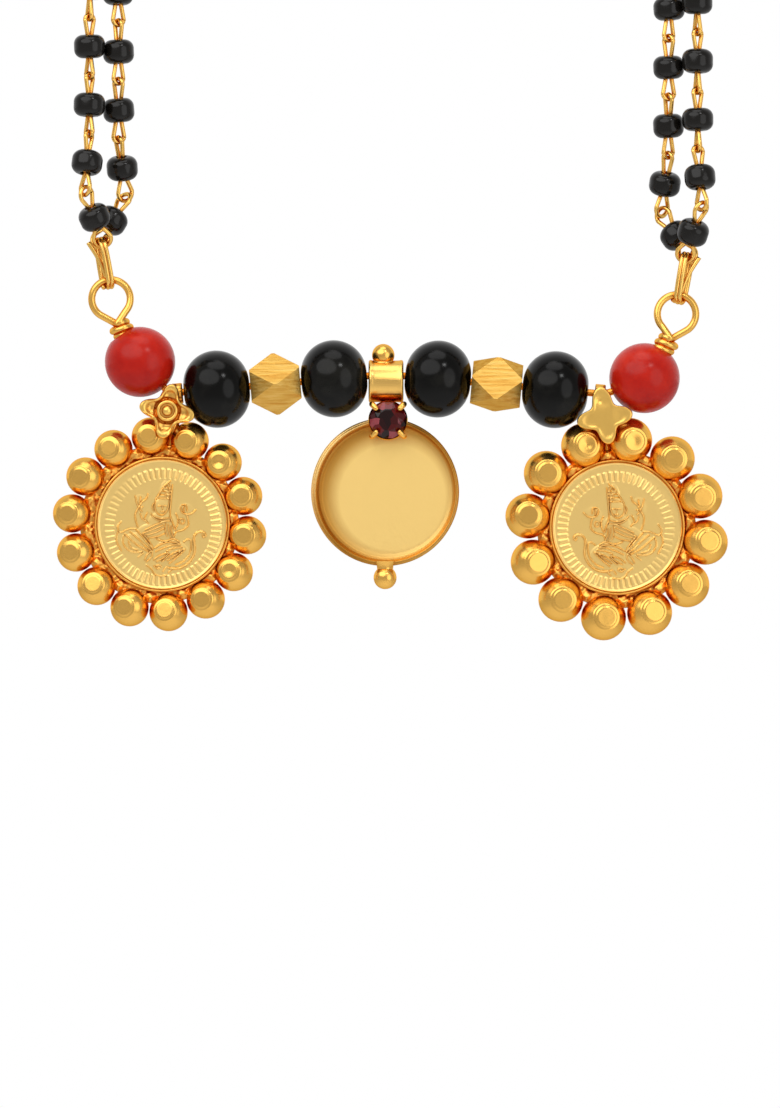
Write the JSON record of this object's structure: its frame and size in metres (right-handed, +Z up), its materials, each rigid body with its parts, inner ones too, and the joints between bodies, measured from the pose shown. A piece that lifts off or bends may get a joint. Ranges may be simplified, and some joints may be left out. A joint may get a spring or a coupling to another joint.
{
  "type": "temple necklace",
  "caption": "Long necklace of paired black bead chains with a wire bar of large beads, a round dish pendant with a red stone, and two coin medallions ringed with balls.",
  "frame": {"origin": "inner top of the loop, where it rests on a peg, a hook or the back of a neck", "axes": "+X across the necklace to the viewer's right, +Y from its front to its back, +Z up along its height"},
  "size_m": [0.0743, 0.0084, 0.2156],
  "materials": {
    "gold_wire": "polished gold plating",
    "gold_connector_rings": "polished gold plating",
    "gold_pendant": "polished gold plating, the dish's face satin",
    "gold_medallions": "polished gold plating, deep orange in the hollows",
    "gold_faceted_beads": "lightly brushed gold plating",
    "gold_clasp": "polished gold plating",
    "coral_beads": "glossy mottled red",
    "onyx_beads": "glossy black",
    "garnet": "cut and polished",
    "black_bead_chains": "glossy black glass on gold wire"
  },
  "bodies": {
    "chains": {"bar_wire": "gold_wire", "coral_bead_left": "coral_beads", "coral_bead_right": "coral_beads", "onyx_bead_1": "onyx_beads", "onyx_bead_2": "onyx_beads", "onyx_bead_3": "onyx_beads", "onyx_bead_4": "onyx_beads", "faceted_bead_left": "gold_faceted_beads", "faceted_bead_right": "gold_faceted_beads", "connector_ring_left": "gold_connector_rings", "connector_ring_right": "gold_connector_rings", "strand_left_outer": "black_bead_chains", "strand_left_inner": "black_bead_chains", "strand_right_outer": "black_bead_chains", "strand_right_inner": "black_bead_chains", "end_ring_left": "gold_clasp", "end_ring_right": "gold_clasp", "clasp_hook": "gold_clasp"},
    "pendant": {"centre_pendant": "gold_pendant", "garnet": "garnet"},
    "left_medallion": {"medallion_left": "gold_medallions"},
    "right_medallion": {"medallion_right": "gold_medallions"}
  },
  "joints": [
    {"name": "centre_pendant_swing", "type": "hinge", "parent": "chains", "child": "pendant", "pos_m": [-0.0008, 0, -0.18429], "axis": [1, 0, 0], "range_deg": [-30, 30]},
    {"name": "left_medallion_swing", "type": "hinge", "parent": "chains", "child": "left_medallion", "pos_m": [-0.02373, 0, -0.18621], "axis": [0.9962, 0, 0.0877], "range_deg": [-20, 30]},
    {"name": "right_medallion_swing", "type": "hinge", "parent": "chains", "child": "right_medallion", "pos_m": [0.02272, 0, -0.18632], "axis": [0.9959, 0, -0.0902], "range_deg": [-20, 30]}
  ]
}
